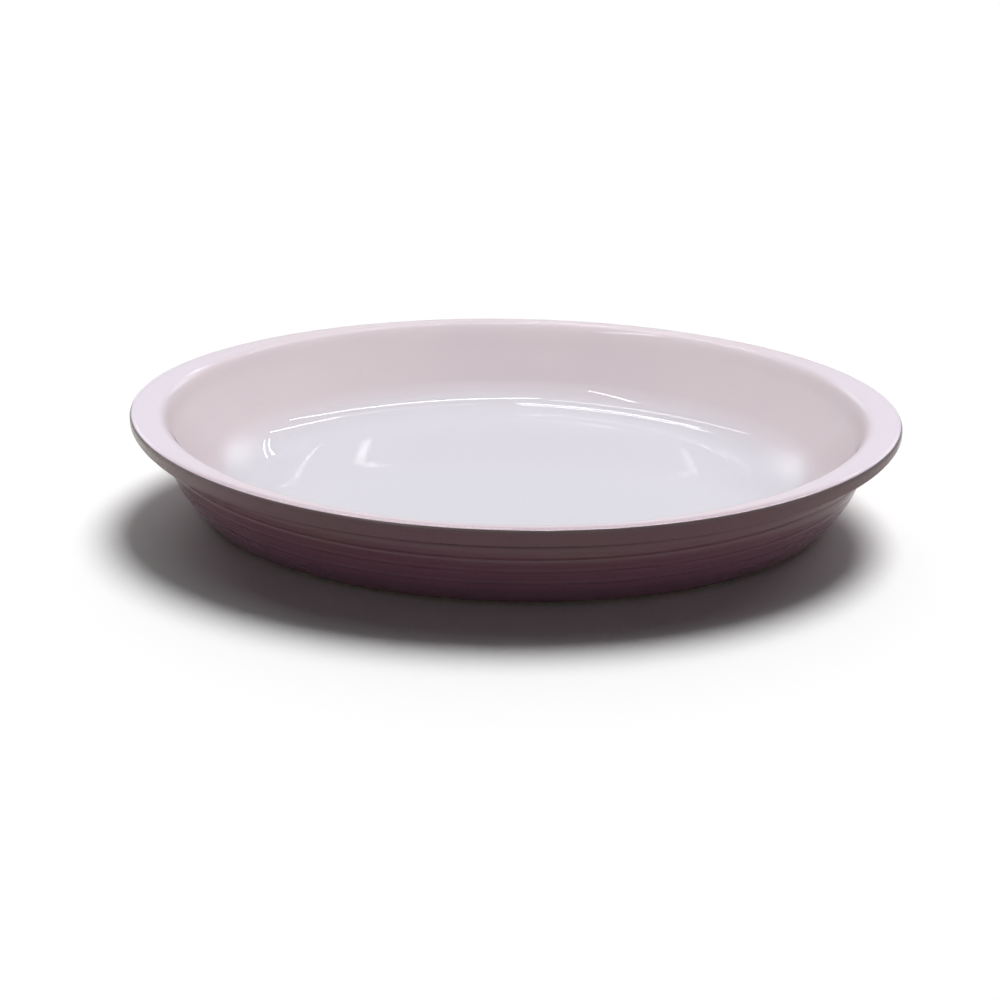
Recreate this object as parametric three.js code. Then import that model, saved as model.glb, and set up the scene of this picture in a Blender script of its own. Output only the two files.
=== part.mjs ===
// Oval gratin dish in glazed stoneware: one pressed clay body with a lug handle at each end, and the three
// glaze coats fired onto it. Millimetres, +Z up, origin on the table under the middle of the dish, +X along
// the lugs. The dish is drawn as two half sections, one at an end and one at a side, and skinned with ovals
// between them.
import * as THREE from "three";

// The whole dish, glaze included.
const length = 320;
const width = 193;
const height = 46.5; // to the tops of the lugs, which stand a little above the rim at the sides

// Glaze: how thick a coat lies on the clay, and how far above the table the outer coat stops.
const glaze = 0.5;
const glazeLine = 2;

// Outer wall and its ribs, in clay.
const flare = 18.3; // how much farther the wall stands out at its top than at the foot
const wallBulge = 4; // swell of the wall beyond a straight line, halfway up
const wallThickness = 5.5;
const ribPitch = 7.2;
const lowestBand = 14; // least plain height between the table and the lowest groove
const grooveDepth = 0.4;
const grooveHalfWidth = 1;

// Collar round the rim, and the lugs it grows into at the ends, in clay.
const collarHeight = 7.4; // at the sides, down to the line where the wall starts
const collarRound = 0.6; // lower outer edge
const collarLedge = 0.2; // glazed ledge under the collar at the sides
const rimRound = 2.1; // top outer edge at the sides
const lugReach = 13; // of a lug's tip beyond the wall
const lugLift = 2; // of a lug's top above the rim at the sides
const lugThickness = 3.6; // of a lug's tip
const lugSpread = 2.7; // power of the cosine with which the rim rises into a lug
const lugTaper = 6; // power with which the collar thins into a lug's edge
const lugNarrow = 0.03; // share by which the ovals close in towards the lugs
const edgeFlat = 0.3; // least upright stretch of a lug's edge
const lugRound = Math.min(1.8, lugThickness - collarRound - edgeFlat); // top outer edge of a lug

// Roll of the inner wall into the rim: the level land before the round, and how far the curve is drawn upward
// along the wall and inward along the land.
const lugLand = 8;
const lugRollRise = 6;
const lugRollRun = 5;
const rimLand = 0.3;
const rimRollRise = 3.5;
const rimRollRun = 2.2;

// Foot and floor, in clay.
const footBand = 7; // width of the ring that stands on the table
const footRound = 1; // between the wall and the standing ring
const recessDepth = 2;
const recessSlope = 1.5; // run of the slope from the standing ring up into the recess
const floorThickness = 5.5;
const coveRadius = 17; // between the floor and the inner wall, at the sides
const endCoveRadius = 34; // the same, at the ends
const endLean = 21; // how much farther out the inner wall stands at its top than on the floor, at the ends

// Fineness of the mesh.
const around = 64;
const coveSteps = 5;
const lipSteps = 4;
const rimSteps = 3; // odd, so that the seam between the glazes falls in the middle of a facet
const collarSteps = 2;

// Levels that follow.
const lugTop = height - glaze;
const rimTop = lugTop - lugLift;
const wallTop = rimTop - collarHeight;
const floorTop = recessDepth + floorThickness;
const ribGrooves = Math.floor((wallTop - lowestBand) / ribPitch); // besides the line under the collar

const end = {
  rim: length / 2 - glaze,
  top: lugTop,
  round: lugRound,
  overhang: lugReach,
  collar: lugThickness,
  land: lugLand,
  rise: lugRollRise,
  run: lugRollRun,
  slope: Math.atan2(wallTop - floorTop, endLean),
  cove: endCoveRadius,
};
const side = {
  rim: width / 2 - glaze,
  top: rimTop,
  round: rimRound,
  overhang: collarRound + glaze + collarLedge,
  collar: collarHeight,
  land: rimLand,
  rise: rimRollRise,
  run: rimRollRun,
  slope: Math.atan2(wallTop, flare - 2 * wallBulge), // as the outer wall at three quarters of its height
  cove: coveRadius,
};

const at = (x, y) => new THREE.Vector2(x, y);
const bend = (p, q, r, s, steps) => new THREE.CubicBezierCurve(p, q, r, s).getPoints(steps);

function arc(centre, radius, from, to, steps) {
  return new THREE.EllipseCurve(centre.x, centre.y, radius, radius, from, to, to < from).getPoints(steps);
}

/** The outer wall's clay at a level above the table. */
function wallPoint(way, level) {
  const share = level / wallTop;
  const foot = way.rim - way.overhang - flare;
  return at(foot + flare * share + 4 * wallBulge * share * (1 - share), level);
}

/** The rim's outer round in two halves, which meet at the seam between the pale glaze and the dark one. */
function rimHalves(way) {
  const points = arc(at(way.rim - way.round, way.top - way.round), way.round, Math.PI / 2, 0, rimSteps);
  const half = (rimSteps + 1) / 2;
  const seam = points[half - 1].clone().lerp(points[half], 0.5);
  return [
    [...points.slice(0, half), seam],
    [seam, ...points.slice(half)],
  ];
}

/** Floor, cove, inner wall and rim top, from the middle of the floor to the seam. */
function innerSection(way) {
  const wallEnd = at(wallPoint(way, wallTop).x - wallThickness, wallTop);
  const corner = wallEnd.x - (wallTop - floorTop) / Math.tan(way.slope);
  const coveCentre = at(corner - way.cove * Math.tan(way.slope / 2), floorTop + way.cove);
  const [rim] = rimHalves(way);
  const landStart = at(rim[0].x - way.land, way.top);
  const upward = at(way.rise * Math.cos(way.slope), way.rise * Math.sin(way.slope)).add(wallEnd);
  const outward = at(landStart.x - way.run, way.top);
  return [
    at(0, floorTop),
    ...arc(coveCentre, way.cove, -Math.PI / 2, way.slope - Math.PI / 2, coveSteps),
    ...bend(wallEnd, upward, outward, landStart, lipSteps),
    ...rim,
  ];
}

/** Collar, its underside and the ribbed wall, from the seam down to the glaze line. */
function outerSection(way) {
  const [, rim] = rimHalves(way);
  const lowCentre = at(way.rim - collarRound, way.top - way.collar + collarRound);
  const wall = [wallPoint(way, wallTop)];
  let bandTop = wallTop;
  for (let rib = 1; rib <= ribGrooves; rib += 1) {
    const level = wallTop - ribPitch * rib;
    const upper = wallPoint(way, level + grooveHalfWidth);
    const lower = wallPoint(way, level - grooveHalfWidth);
    const inward = at(lower.y - upper.y, upper.x - lower.x).normalize();
    wall.push(wallPoint(way, (bandTop + upper.y) / 2), upper);
    wall.push(wallPoint(way, level).addScaledVector(inward, grooveDepth), lower);
    bandTop = lower.y;
  }
  wall.push(wallPoint(way, (bandTop + glazeLine) / 2), wallPoint(way, glazeLine));
  return [
    ...rim,
    ...arc(lowCentre, collarRound, 0, -Math.PI / 2, collarSteps),
    ...wall,
  ];
}

/** The bare ring that the dish stands on, from the glaze line to the edge of the recess. */
function footSection(way) {
  const foot = wallPoint(way, 0).x;
  const inside = foot - footBand;
  return [
    wallPoint(way, glazeLine),
    wallPoint(way, Math.min(footRound, glazeLine) / 2),
    at(foot - footRound, 0),
    at(inside, 0),
    at(inside - recessSlope, recessDepth),
  ];
}

/** The recess inside the foot ring, from its edge to the middle. */
function recessSection(way) {
  return [at(wallPoint(way, 0).x - footBand - recessSlope, recessDepth), at(0, recessDepth)];
}

/** Moves a section outward by the thickness of the glaze, square to its own line; the axis stays the axis. */
function coated(points) {
  return points.map((point, i) => {
    const before = i > 0 ? point.clone().sub(points[i - 1]).normalize() : null;
    const after = i < points.length - 1 ? points[i + 1].clone().sub(point).normalize() : null;
    const [one, two] = [before ?? after, after ?? before];
    const normal = at(-one.y - two.y, one.x + two.x).normalize();
    const reach = glaze / (normal.y * one.x - normal.x * one.y);
    const moved = point.clone().addScaledVector(normal, reach);
    return point.x === 0 ? at(0, moved.y) : moved;
  });
}

/** One oval of the skin, through a point of the end's section and its partner on the side's. What it climbs
 * beyond the lug's own lift comes later, as the edge thins. */
function oval(endPoint, sidePoint) {
  const climb = endPoint.y - sidePoint.y;
  const lift = Math.min(climb, lugLift);
  return Array.from({ length: around }, (_, step) => {
    const turn = (2 * Math.PI * step) / around;
    const nearness = Math.abs(Math.cos(turn));
    const level = sidePoint.y + lift * nearness ** lugSpread + (climb - lift) * nearness ** lugTaper;
    const across = sidePoint.x * (1 - lugNarrow * nearness ** lugSpread);
    return new THREE.Vector3(endPoint.x * Math.cos(turn), across * Math.sin(turn), level);
  });
}

/** The ovals of one stretch of the clay, or of the glaze on it. */
function ovals(section, finish = (points) => points) {
  const sidePoints = finish(section(side));
  return finish(section(end)).map((endPoint, i) => oval(endPoint, sidePoints[i]));
}

/** A closed skin over ovals in order. They start and end on the axis, or the last one joins the first. */
function skin(rings, name, material) {
  const corners = [];
  const onAxis = (ring) => ring[0].x === 0;
  const strips = onAxis(rings[0]) ? rings.length - 1 : rings.length;
  for (let i = 0; i < strips; i += 1) {
    const [ring, following] = [rings[i], rings[(i + 1) % rings.length]];
    for (let j = 0; j < around; j += 1) {
      const next = (j + 1) % around;
      const [a, b, c, d] = [ring[j], following[j], following[next], ring[next]];
      if (onAxis(ring)) {
        corners.push(a, b, c);
      } else if (onAxis(following)) {
        corners.push(a, b, d);
      } else if (a.distanceTo(c) <= b.distanceTo(d)) {
        corners.push(a, b, c, a, c, d);
      } else {
        corners.push(a, b, d, b, c, d);
      }
    }
  }
  const geometry = new THREE.BufferGeometry().setFromPoints(corners);
  geometry.computeVertexNormals();
  const mesh = new THREE.Mesh(geometry, material);
  mesh.name = name;
  return mesh;
}

/** A glaze coat on a stretch of the clay: out along its face, and back along the clay. */
function coat(section, name, material) {
  return skin([...ovals(section, coated), ...ovals(section).reverse()], name, material);
}

/** The clay, with each stretch starting where the one before it ended. */
function body(name, material) {
  const later = [outerSection, footSection, recessSection].flatMap((section) => ovals(section).slice(1));
  return skin([...ovals(innerSection), ...later], name, material);
}

const clay = new THREE.MeshStandardMaterial({ color: 0xcdb8a3, roughness: 0.9 });
const palePink = new THREE.MeshStandardMaterial({ color: 0xe8dcdf, roughness: 0.12 });
const mauve = new THREE.MeshStandardMaterial({ color: 0x664751, roughness: 0.2 });

const dish = new THREE.Group();
dish.add(body("stoneware_body", clay));
dish.add(coat(innerSection, "interior_glaze", palePink));
dish.add(coat(outerSection, "exterior_glaze", mauve));
dish.add(coat(recessSection, "underside_glaze", mauve));

export default dish;
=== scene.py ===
"""An oval gratin dish in glazed stoneware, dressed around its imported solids.

The dish is drawn as two half sections, one towards a lug and one towards a side. A surface is the grid that
carries each station of the section round an oval: x is the end's reach times the cosine of the turn, y is the
side's reach times its sine, drawn in a little towards the lugs, and the level passes from the side's to the
end's with powers of the cosine, a low one for the lug's lift and a high one for the thinning of its edge.
All sizes are in metres, and all colours are written as sRGB from 0 to 255.
"""

import logging
import math
from abc import ABC, abstractmethod
from dataclasses import dataclass
from enum import Enum

import bpy
import numpy as np
from mathutils import Matrix, Quaternion, Vector


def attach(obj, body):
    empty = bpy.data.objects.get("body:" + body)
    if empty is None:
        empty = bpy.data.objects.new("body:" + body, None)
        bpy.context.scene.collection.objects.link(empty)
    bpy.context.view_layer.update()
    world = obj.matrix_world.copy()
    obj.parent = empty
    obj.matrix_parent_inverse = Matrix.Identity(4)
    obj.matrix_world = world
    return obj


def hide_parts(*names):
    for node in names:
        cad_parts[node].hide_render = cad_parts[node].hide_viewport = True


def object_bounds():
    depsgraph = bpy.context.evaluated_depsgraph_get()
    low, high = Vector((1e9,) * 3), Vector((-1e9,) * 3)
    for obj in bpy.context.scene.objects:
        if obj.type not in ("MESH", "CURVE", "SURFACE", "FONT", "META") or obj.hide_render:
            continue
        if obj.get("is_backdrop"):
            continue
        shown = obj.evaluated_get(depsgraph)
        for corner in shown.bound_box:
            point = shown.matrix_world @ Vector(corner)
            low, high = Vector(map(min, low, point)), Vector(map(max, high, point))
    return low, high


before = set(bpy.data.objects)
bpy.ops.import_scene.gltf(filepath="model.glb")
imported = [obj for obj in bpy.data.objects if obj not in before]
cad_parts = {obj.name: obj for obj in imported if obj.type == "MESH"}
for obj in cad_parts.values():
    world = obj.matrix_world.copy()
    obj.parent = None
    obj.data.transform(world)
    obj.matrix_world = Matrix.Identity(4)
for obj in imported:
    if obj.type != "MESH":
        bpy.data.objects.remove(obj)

Rgb = tuple[float, float, float]
Point = tuple[float, float, float]
Span = tuple[float, float]
Socket = bpy.types.NodeSocket

MM = 0.001
LOG = logging.getLogger("gratin_dish")
FULL_TURN = 2 * math.pi
RIGHT_ANGLE = math.pi / 2
SEAM_ANGLE = math.pi / 4  # on the rim's round, where the pale glaze meets the dark one
WHITE: Rgb = (255, 255, 255)
SRGB_FOOT = 0.04045  # share of white up to which the sRGB curve is straight
SRGB_FOOT_SLOPE = 12.92
SRGB_SHIFT = 0.055
SRGB_POWER = 2.4
MIX_INPUTS = (0, 6, 7)  # the Mix node's sockets for a factor and two colours
MIX_RESULT = 2  # and for the colour that comes out
SPECK_CORE = 0.5  # share of a speck's radius within which it has its full colour
LAMP_WATTS = 4.0  # that give a square metre of lamp the brightness of the white surroundings
LAMP_MIDDLE = 0.5  # of a lamp's face, as a share of its length or width


class Mark(Enum):
    """What a glaze carries at each of its points, for its finish to read."""

    THIN = "thin"  # 1 where the glaze has drawn off an edge, and where a sheen and a highlight are painted towards the lugs
    POOL_AND_PAINTED_LIGHT = "pool"  # 1 where the glaze has run together, and where painted light and shade take its colour
    DEPTH = "depth"  # 0 at the rim to 1 at the foot or on the floor, where a tone is painted: lighter low on the outer wall, cooler on the inner floor


class Close(Enum):
    """How the first and last ring of a skin are closed."""

    POLES = "poles"  # each is one point on the axis
    LOOP = "loop"  # the last ring joins the first


def linear(colour: Rgb) -> tuple[float, float, float, float]:
    """Turns an sRGB colour into the linear one that shader sockets take.

    The curve is straight at its foot, and a power of the shifted share of white above it.

    Args:
        colour: Red, green and blue from 0 to 255.

    Returns:
        Linear red, green and blue from 0 to 1, and an alpha of 1.
    """
    share = np.asarray(colour) / WHITE
    foot = share / SRGB_FOOT_SLOPE
    curve = ((share + SRGB_SHIFT) / (1 + SRGB_SHIFT)) ** SRGB_POWER
    return (*np.where(share <= SRGB_FOOT, foot, curve).tolist(), 1.0)


def arc(centre: np.ndarray, radius: float, start: float, stop: float, steps: int) -> np.ndarray:
    """Draws an arc: the centre plus the radius times the cosine and sine of evenly spread angles.

    Args:
        centre: Reach and level of the centre.
        radius: Radius of the arc.
        start: First angle, from the outward direction.
        stop: Last angle.
        steps: Stretches between stations.

    Returns:
        The stations, one row each of reach and level.
    """
    angle = np.linspace(start, stop, steps + 1)
    return centre + radius * np.stack([np.cos(angle), np.sin(angle)], axis=1)


def bend(corners: list[np.ndarray], steps: int) -> np.ndarray:
    """Draws a Bezier bend: its corners weighted by the Bernstein polynomials of a share from 0 to 1.

    Args:
        corners: Reach and level of three or four corners.
        steps: Stretches between stations.

    Returns:
        The stations, one row each of reach and level.
    """
    share = np.linspace(0, 1, steps + 1)[:, None]
    order = len(corners) - 1
    power = np.arange(order + 1)
    ways = np.array([math.comb(order, k) for k in range(order + 1)])
    return (ways * share**power * (1 - share) ** (order - power)) @ np.array(corners)


def line(start: np.ndarray, stop: np.ndarray, steps: int) -> np.ndarray:
    """Draws a straight stretch: evenly spread points from start to stop."""
    return np.linspace(start, stop, steps + 1)


def join(*stretches: np.ndarray) -> np.ndarray:
    """Sets stretches end to end, each without the station that the one before it ended on."""
    return np.concatenate([stretches[0], *[stretch[1:] for stretch in stretches[1:]]])


def outward(points: np.ndarray) -> np.ndarray:
    """Finds the outward direction of a section: its own direction turned a quarter to the left.

    Args:
        points: The section's stations, with the solid on its right.

    Returns:
        One unit vector for each station, square to the mean of the stretches before and after it.
    """
    along = np.diff(points, axis=0)
    along /= np.linalg.norm(along, axis=1, keepdims=True)
    mean = np.concatenate([along[:1], along[:-1] + along[1:], along[-1:]])
    mean /= np.linalg.norm(mean, axis=1, keepdims=True)
    return np.stack([-mean[:, 1], mean[:, 0]], axis=1)


def ramp(value: np.ndarray, start: float, stop: float) -> np.ndarray:
    """Rises smoothly from 0 at start to 1 at stop: 3 s² - 2 s³ of the share s between them."""
    share = np.clip((value - start) / (stop - start), 0, 1)
    return share * share * (3 - 2 * share)


@dataclass(frozen=True)
class Way:
    """One way across the dish, and the clay's sizes in the half section there."""

    rim: float  # reach of the outermost edge
    top: float  # level of the rim's top
    round: float  # radius of the rim's top outer edge
    overhang: float  # of the collar or lug beyond the wall
    collar: float  # height of the collar or lug's edge
    land: float  # level stretch inside the round
    rise: float  # how far the roll of the inner wall is drawn up along the wall
    run: float  # how far it is drawn inward along the land
    sweep: float  # how far the collar's underside is rounded into the wall
    slope: float  # angle of the inner wall
    cove: float  # radius between the floor and the inner wall


@dataclass(frozen=True)
class Fineness:
    """How many stretches each part of the ovals and sections is drawn in."""

    around: int = 320
    floor: int = 16
    cove: int = 30
    inner_wall: int = 12
    roll: int = 26  # of the inner wall into the rim
    land: int = 4
    rim: int = 7  # on each side of the seam
    collar: int = 6
    heel: int = 8  # the collar's lower outer edge
    ledge: int = 6  # under the collar or lug
    fillet: int = 8  # between that and the wall
    lead: int = 4  # from there to the start of the bands
    bands: int = 120
    band_samples: int = 2000  # levels from which the stations of the bands are picked
    groove_crowding: float = 3  # stations added in the depth of a groove, for each one on plain wall
    coat_edge: int = 6  # where a coat runs out
    foot_wall: int = 3  # from the glaze line to the foot's round
    foot_round: int = 8
    foot_ring: int = 8
    foot_ease: int = 5
    recess_slope: int = 3
    recess: int = 14


@dataclass(frozen=True)
class Swing:
    """One of the slow waves that making leaves in the wall."""

    round: int  # waves in once round the dish
    climb: float  # waves in the height of a rib
    share: float  # its height, as a share of the wall's unevenness
    shift: float = 0.0  # of its phase

    def height(self, turns: np.ndarray, up: np.ndarray) -> np.ndarray:
        """A share of the sine of the turn and the climb, each times its count of waves, plus the shift."""
        return self.share * np.sin(self.round * turns + self.climb * up + self.shift)


@dataclass(frozen=True)
class DishForm:
    """The whole dish: its driving sizes, in clay, and the sections and surfaces that follow from them."""

    length: float
    width: float
    height: float
    glaze: float = 0.5 * MM  # thickness of a coat
    glaze_line: float = 2 * MM  # where the outer coat stops above the table
    bead: float = 0.7 * MM  # height over which that coat runs out
    bead_swell: float = 0.3  # how much thicker the coat is there, as a share of it
    bead_fade: float = 1 * MM  # how far up the wall that swell dies away
    flare: float = 18.3 * MM  # how much farther the wall stands out at its top than at the foot
    wall_bulge: float = 4 * MM  # swell of the wall beyond a straight line, halfway up
    wall_thickness: float = 5.5 * MM
    rib_pitch: float = 7.2 * MM
    lowest_band: float = 14 * MM  # least plain height between the table and the lowest groove
    groove_depth: float = 0.22 * MM
    groove_half_width: float = 1.2 * MM
    band_crown: float = 0.12 * MM  # swell of each band between two grooves
    throwing_wave: float = 0.07 * MM  # unevenness of the wall from its making
    swings: tuple[Swing, ...] = (Swing(3, 0.21, 1.0), Swing(7, -0.37, 0.6, 1.1))
    collar_height: float = 7.4 * MM  # at the sides, down to the line where the wall starts
    collar_round: float = 0.6 * MM  # lower outer edge
    collar_ledge: float = 0.2 * MM  # glazed ledge under the collar at the sides
    rim_round: float = 2.1 * MM  # top outer edge at the sides
    lug_round: float = 1.8 * MM  # top outer edge of a lug
    lug_reach: float = 13 * MM  # of a lug's tip beyond the wall
    lug_lift: float = 2 * MM  # of a lug's top above the rim at the sides
    lug_thickness: float = 3.6 * MM  # of a lug's tip
    lug_spread: float = 2.7  # power of the cosine with which the rim rises into a lug
    lug_taper: float = 6  # power with which the collar thins into a lug's edge
    lug_narrow: float = 0.03  # share by which the ovals close in towards the lugs
    lug_sweep: float = 3 * MM  # round between a lug's underside and the wall
    lug_land: float = 8 * MM  # level stretch on top of a lug
    lug_roll_rise: float = 6 * MM
    lug_roll_run: float = 5 * MM
    rim_land: float = 0.3 * MM
    rim_roll_rise: float = 3.5 * MM
    rim_roll_run: float = 2.2 * MM
    foot_band: float = 7 * MM  # width of the ring that stands on the table
    foot_round: float = 1 * MM  # between the wall and the standing ring
    foot_ease: float = 0.5 * MM  # round on the inner edge of the standing ring
    recess_depth: float = 2 * MM
    recess_slope: float = 1.5 * MM  # run of the slope from the standing ring up into the recess
    floor_thickness: float = 5.5 * MM
    cove_radius: float = 17 * MM  # between the floor and the inner wall, at the sides
    end_cove_radius: float = 34 * MM  # the same, at the ends
    end_lean: float = 21 * MM  # how much farther out the inner wall's top stands than its foot, at the ends
    steps: Fineness = Fineness()

    @classmethod
    def from_box(cls, low: Vector, high: Vector) -> "DishForm":
        """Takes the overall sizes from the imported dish's box."""
        return cls(*(high - low))

    @property
    def lug_top(self) -> float:
        """Level of the clay on top of the lugs."""
        return self.height - self.glaze

    @property
    def rim_top(self) -> float:
        """Level of the clay on top of the rim at the sides."""
        return self.lug_top - self.lug_lift

    @property
    def wall_top(self) -> float:
        """Level of the line where the wall meets the collar."""
        return self.rim_top - self.collar_height

    @property
    def floor_top(self) -> float:
        """Level of the clay floor."""
        return self.recess_depth + self.floor_thickness

    @property
    def band_start(self) -> float:
        """Level under the lug's sweep, from which all of the wall is at one level all round."""
        return self.wall_top - self.glaze - self.lug_sweep

    @property
    def groove_levels(self) -> np.ndarray:
        """Levels of the grooves, a pitch apart below the collar line."""
        count = math.floor((self.wall_top - self.lowest_band) / self.rib_pitch)
        return self.wall_top - self.rib_pitch * np.arange(1, count + 1)

    @property
    def turns(self) -> np.ndarray:
        """Angles of the stations round the oval."""
        return np.linspace(0, FULL_TURN, self.steps.around, endpoint=False)

    @property
    def end(self) -> Way:
        """The half section towards a lug."""
        return Way(
            rim=self.length / 2 - self.glaze,
            top=self.lug_top,
            round=self.lug_round,
            overhang=self.lug_reach,
            collar=self.lug_thickness,
            land=self.lug_land,
            rise=self.lug_roll_rise,
            run=self.lug_roll_run,
            sweep=self.lug_sweep,
            slope=math.atan2(self.wall_top - self.floor_top, self.end_lean),
            cove=self.end_cove_radius,
        )

    @property
    def side(self) -> Way:
        """The half section towards a side, where the inner wall leans as the outer one does higher up."""
        return Way(
            rim=self.width / 2 - self.glaze,
            top=self.rim_top,
            round=self.rim_round,
            overhang=self.collar_round + self.glaze + self.collar_ledge,
            collar=self.collar_height,
            land=self.rim_land,
            rise=self.rim_roll_rise,
            run=self.rim_roll_run,
            sweep=self.collar_ledge,
            slope=math.atan2(self.wall_top, self.flare - 2 * self.wall_bulge),
            cove=self.cove_radius,
        )

    def grooves(self, level: np.ndarray) -> np.ndarray:
        """Depth of the grooves as a share: half of 1 plus the cosine across each, and 0 outside them."""
        off = (level[:, None] - self.groove_levels) / self.groove_half_width
        return np.where(np.abs(off) < 1, 0.5 + 0.5 * np.cos(np.pi * off), 0).sum(axis=1)

    def wall(self, way: Way, level: np.ndarray | float) -> np.ndarray:
        """Finds the outer wall's clay: a straight flare plus a parabola of the height, which bulges it.

        Args:
            way: The way across the dish.
            level: Height above the table, one or many.

        Returns:
            The points, with the grooves left out.
        """
        share = np.asarray(level) / self.wall_top
        foot = way.rim - way.overhang - self.flare
        reach = foot + self.flare * share + 4 * self.wall_bulge * share * (1 - share)
        return np.stack([reach, np.broadcast_to(level, reach.shape)], axis=-1)

    def wall_levels(self, stop: float) -> np.ndarray:
        """Spreads stations down the wall, crowded at the grooves.

        Equal shares of the running sum of 1 plus a few times the grooves' depth are turned back into
        levels.

        Args:
            stop: Lowest level.

        Returns:
            The levels from the start of the bands down to the lowest.
        """
        fine = np.linspace(self.band_start, stop, self.steps.band_samples)
        weight = np.cumsum(1 + self.steps.groove_crowding * self.grooves(fine))
        shares = np.linspace(weight[0], weight[-1], self.steps.bands + 1)
        return np.interp(shares, weight, fine)

    def rim_arc(self, way: Way, coat: float, start: float, stop: float) -> np.ndarray:
        """Draws part of the rim's top outer round, between two angles on it."""
        centre = np.array([way.rim - way.round, way.top - way.round])
        return arc(centre, way.round + coat, start, stop, self.steps.rim)

    def inner_section(self, way: Way, coat: float) -> np.ndarray:
        """Draws floor, cove, inner wall, roll, land and rim, from the axis to the seam between the glazes.

        The cove is an arc that touches the floor and the wall, and the roll a cubic bend from the wall's
        direction to the level of the land. The whole is then moved outward by the coat.

        Args:
            way: The way across the dish.
            coat: Thickness of glaze on the clay.

        Returns:
            The section's stations.
        """
        steps, slope, radius = self.steps, way.slope, way.cove
        wall_end = self.wall(way, self.wall_top) - [self.wall_thickness, 0]
        corner = wall_end[0] - (self.wall_top - self.floor_top) / math.tan(slope)
        centre = np.array([corner - radius * math.tan(slope / 2), self.floor_top + radius])
        middle = np.array([0, self.floor_top])
        cove = arc(centre, radius, -RIGHT_ANGLE, slope - RIGHT_ANGLE, steps.cove)
        rim = self.rim_arc(way, 0, RIGHT_ANGLE, SEAM_ANGLE)
        land = rim[0] - [way.land, 0]
        direction = np.array([math.cos(slope), math.sin(slope)])
        roll = [wall_end, wall_end + way.rise * direction, land - [way.run, 0], land]
        points = join(
            line(middle, cove[0], steps.floor),
            cove,
            line(cove[-1], wall_end, steps.inner_wall),
            bend(roll, steps.roll),
            line(land, rim[0], steps.land),
            rim,
        )
        moved = points + coat * outward(points)
        moved[0, 0] = 0
        return moved

    def outer_section(self, way: Way, coat: float) -> np.ndarray:
        """Draws collar, its underside and the ribbed wall, from the seam down to the glaze line.

        The collar's underside meets the wall at the corner that lies the coat away from both, which a
        quadratic bend rounds. The coat on the wall runs out in a quarter of an ellipse at the glaze line.

        Args:
            way: The way across the dish.
            coat: Thickness of glaze on the clay.

        Returns:
            The section's stations.
        """
        steps = self.steps
        rim = self.rim_arc(way, coat, SEAM_ANGLE, 0)
        heel_centre = np.array([way.rim - self.collar_round, way.top - way.collar + self.collar_round])
        heel = arc(heel_centre, self.collar_round + coat, 0, -RIGHT_ANGLE, steps.heel)
        corner = self.wall(way, self.wall_top)
        under = corner - (heel_centre - [0, self.collar_round])
        down = np.diff(self.wall(way, np.array([self.wall_top, self.wall_top - MM])), axis=0)[0]
        square = np.array([[-leg[1], leg[0]] / np.linalg.norm(leg) for leg in (under, down)])
        corner = corner + np.linalg.solve(square, [coat, coat])
        back = heel[-1] - corner
        before = corner + back * min(1, way.sweep / np.linalg.norm(back))
        after = corner + down * (way.sweep / np.linalg.norm(down))
        wall = self.coated_wall(way, self.wall_levels(self.glaze_line + self.bead), coat)
        angle = np.linspace(0, RIGHT_ANGLE, steps.coat_edge + 1)
        run_out = self.wall(way, self.glaze_line + self.bead * (1 - np.sin(angle)))
        run_out[:, 0] += coat * (1 + self.bead_swell) * np.cos(angle)
        return join(
            rim,
            line(rim[-1], heel[0], steps.collar),
            heel,
            line(heel[-1], before, steps.ledge),
            bend([before, corner, after], steps.fillet),
            bend([after, (after + wall[0]) / 2, wall[0]], steps.lead),
            wall,
            run_out,
        )

    def coated_wall(self, way: Way, level: np.ndarray, coat: float) -> np.ndarray:
        """Draws the ribbed wall at some levels, with a coat on it.

        It stands off the plain wall by the coat, which swells as a bell curve towards the glaze line, plus
        the coat's crown on each band, a squared sine from groove to groove, less the depth of the grooves.

        Args:
            way: The way across the dish.
            level: Levels from the top down.
            coat: Thickness of glaze on the clay.

        Returns:
            The wall's stations.
        """
        points = self.wall(way, level)
        swell = self.bead_swell * np.exp(-(((level - self.glaze_line - self.bead) / self.bead_fade) ** 2))
        crown = np.sin(np.pi * (self.wall_top - level) / self.rib_pitch) ** 2
        proud = coat * (1 + swell) + (self.band_crown * crown if coat else 0)
        return points + outward(points) * (proud - self.groove_depth * self.grooves(level))[:, None]

    def foot_section(self, way: Way) -> np.ndarray:
        """Draws the bare foot: a quadratic bend into the standing ring, and its eased inner edge and slope.

        Args:
            way: The way across the dish.

        Returns:
            The stations from the glaze line to the edge of the recess.
        """
        steps = self.steps
        foot = self.wall(way, 0.0)
        inside = foot - [self.foot_band, 0]
        edge = inside + [-self.recess_slope, self.recess_depth]
        slope = (edge - inside) / np.linalg.norm(edge - inside)
        start = self.wall(way, self.foot_round)
        outer = bend([start, foot, foot - [self.foot_round, 0]], steps.foot_round)
        eased = [inside + [self.foot_ease, 0], inside, inside + slope * self.foot_ease]
        inner = bend(eased, steps.foot_ease)
        return join(
            line(self.wall(way, self.glaze_line), start, steps.foot_wall),
            outer,
            line(outer[-1], inner[0], steps.foot_ring),
            inner,
            line(inner[-1], edge, steps.recess_slope),
        )

    def recess_section(self, way: Way, coat: float) -> np.ndarray:
        """Draws the recess under the dish: a quarter of an ellipse as its glaze's edge, then level.

        Args:
            way: The way across the dish.
            coat: Thickness of glaze on the clay.

        Returns:
            The stations from the edge of the recess to the axis.
        """
        edge = self.wall(way, 0.0) + [-self.foot_band - self.recess_slope, self.recess_depth]
        angle = np.linspace(0, RIGHT_ANGLE, self.steps.coat_edge + 1)
        run_in = edge - np.stack([self.bead * (1 - np.cos(angle)), coat * np.sin(angle)], axis=1)
        middle = np.array([0, run_in[-1, 1]])
        return join(run_in, line(run_in[-1], middle, self.steps.recess))

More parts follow.
